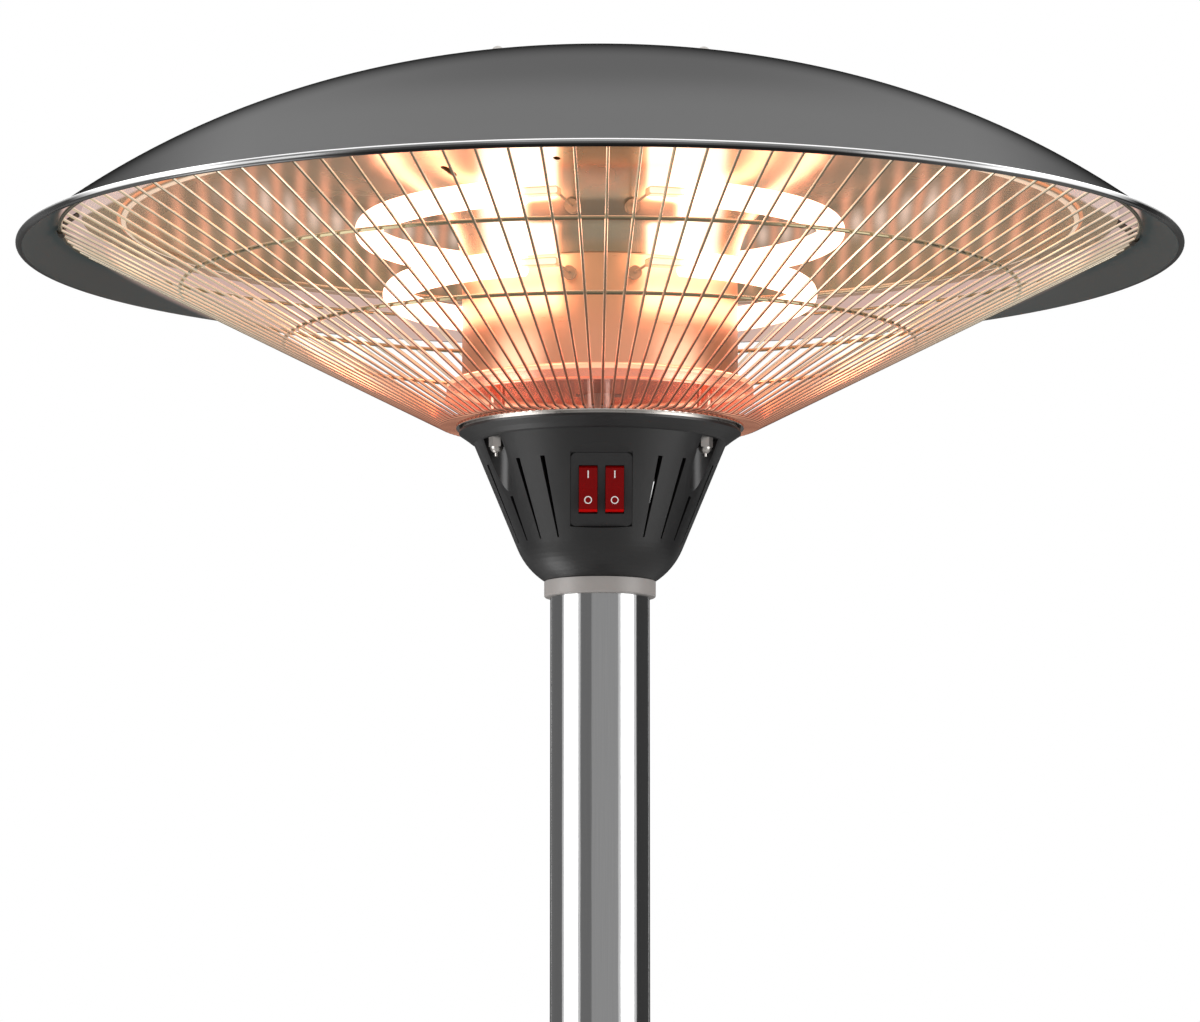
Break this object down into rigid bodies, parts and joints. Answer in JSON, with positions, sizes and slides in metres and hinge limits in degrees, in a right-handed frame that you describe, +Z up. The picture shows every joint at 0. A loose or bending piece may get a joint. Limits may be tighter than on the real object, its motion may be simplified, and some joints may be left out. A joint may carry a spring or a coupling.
{
  "type": "electric patio heater",
  "caption": "Free-standing patio heater: spun hood over ring lamps and a conical wire guard, bell housing with rocker switches, polished pole and weighted round base.",
  "frame": {"origin": "on the floor, under the pole's axis", "axes": "+Z up along the pole; the switches face -Y; +X to the right as one faces them"},
  "size_m": [0.6, 0.6, 2.1005],
  "materials": {
    "hood_paint": "satin anthracite powder coat on spun steel",
    "reflector": "bright rolled sheet, softly brushed",
    "lamp_glass": "clear quartz tube",
    "filament": "glowing wound coil",
    "ceramic": "glazed ceramic",
    "guard_wire": "bright chromed wire and ring",
    "plated_steel": "zinc-plated steel",
    "housing": "satin black heat-resistant moulding",
    "switch_black": "fine-grained black moulding",
    "rocker_red": "deep red gloss moulding",
    "terminal_brass": "plain brass",
    "collar_grey": "satin warm grey moulding",
    "pole_steel": "mirror-polished stainless tube",
    "base_paint": "black powder coat",
    "weight_iron": "raw casting",
    "base_plastic": "satin black moulding",
    "rubber": "matt"
  },
  "bodies": {
    "heater": {"hood": "hood_paint", "hood_washers": "plated_steel", "hood_acorn_nuts": "plated_steel", "hood_spacers": "plated_steel", "reflector_dish": "reflector", "lamp_drum": "reflector", "drum_spacers": "plated_steel", "lamp_pan": "reflector", "pan_standoffs": "plated_steel", "tie_studs": "plated_steel", "upper_lamp_glass": "lamp_glass", "lower_lamp_glass": "lamp_glass", "lamp_filaments": "filament", "lamp_leads": "plated_steel", "lead_bushes": "ceramic", "lamp_rear_bracket": "plated_steel", "guard_wires": "guard_wire", "guard_top_ring": "guard_wire", "guard_middle_rings": "guard_wire", "guard_clamp_ring": "guard_wire", "guard_clips": "plated_steel", "head_plate": "plated_steel", "housing": "housing", "housing_acorn_nuts": "plated_steel", "pole_clamp_screws": "plated_steel", "switch_plate": "switch_black", "switch_body_left": "switch_black", "switch_body_right": "switch_black", "switch_terminals": "terminal_brass", "terminal_block": "ceramic", "thermal_cutout": "plated_steel", "tilt_bracket": "plated_steel", "tilt_pin": "plated_steel", "upper_collar": "collar_grey", "upper_pole": "pole_steel", "coupler_screws": "plated_steel", "pole_coupler": "plated_steel", "lower_pole": "pole_steel", "lower_collar": "collar_grey", "base_flange": "base_paint", "flange_screws": "plated_steel", "base_bolts": "plated_steel", "base_nuts": "plated_steel", "base_weight": "weight_iron", "base_cover": "base_plastic", "cover_screws": "plated_steel", "base_bottom_plate": "base_paint", "base_feet": "rubber", "feet_screws": "plated_steel", "cord_grommet": "rubber"},
    "rocker_left": {"rocker_left": "rocker_red"},
    "rocker_right": {"rocker_right": "rocker_red"},
    "tilt_pendulum": {"tilt_pendulum": "terminal_brass"}
  },
  "joints": [
    {"name": "left_rocker_pivot", "type": "hinge", "parent": "heater", "child": "rocker_left", "pos_m": [-0.0067, -0.04593, 1.87061], "axis": [1, 0, 0], "range_deg": [0, 20]},
    {"name": "right_rocker_pivot", "type": "hinge", "parent": "heater", "child": "rocker_right", "pos_m": [0.0067, -0.04593, 1.87061], "axis": [1, 0, 0], "range_deg": [0, 20]},
    {"name": "tilt_pendulum_pivot", "type": "hinge", "parent": "heater", "child": "tilt_pendulum", "pos_m": [0.034, 0, 1.895], "axis": [1, 0, 0], "range_deg": [-20, 20]}
  ]
}
